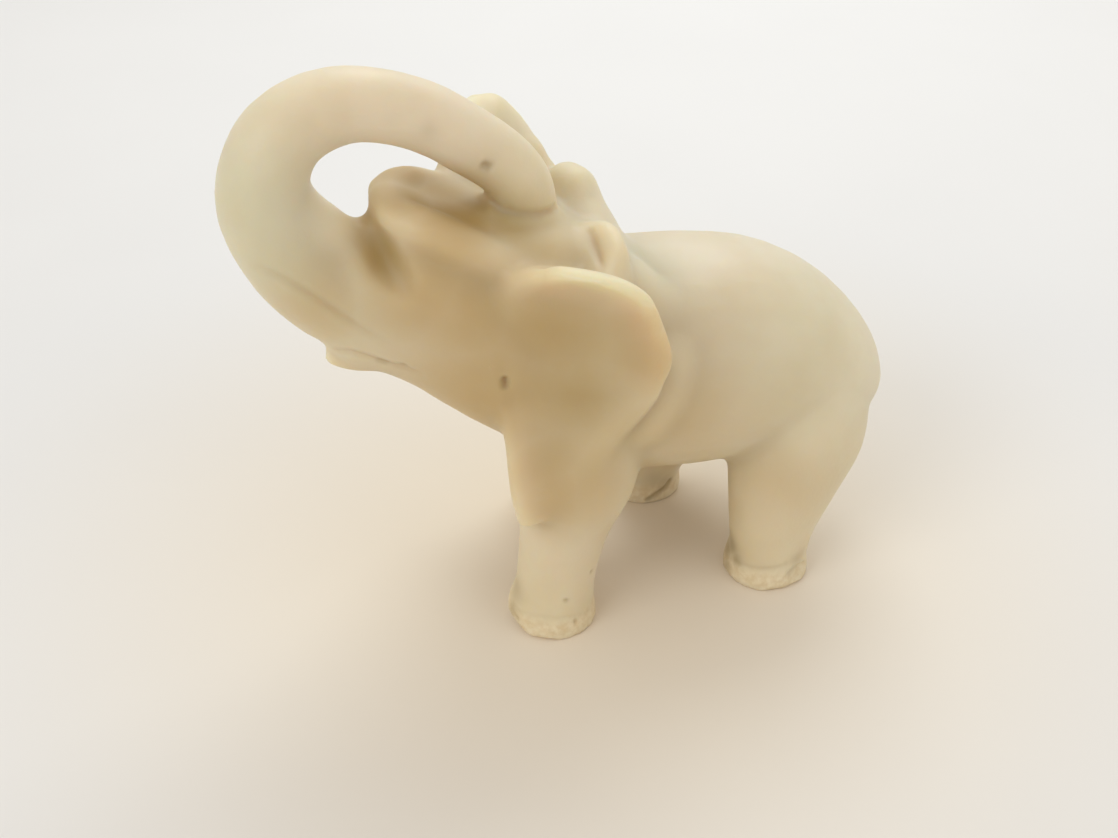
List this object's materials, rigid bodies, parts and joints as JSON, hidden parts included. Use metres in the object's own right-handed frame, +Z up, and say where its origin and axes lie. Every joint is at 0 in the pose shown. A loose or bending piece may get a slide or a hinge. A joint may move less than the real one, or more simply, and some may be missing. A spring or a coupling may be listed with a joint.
{
  "type": "elephant figurine",
  "caption": "Small walking elephant carved from one stone, head thrown up and trunk curled back in a ring onto the brow, with flared ears and feet.",
  "frame": {"origin": "middle of the bounding box, on the table plane under the four soles", "axes": "-Y is the way the elephant walks and looks, +X its left side, +Z up from the table"},
  "size_m": [0.045, 0.094, 0.084],
  "materials": {
    "alabaster": "rubbed smooth, waxy, slightly translucent"
  },
  "bodies": {
    "root": {"elephant": "alabaster"}
  },
  "joints": []
}
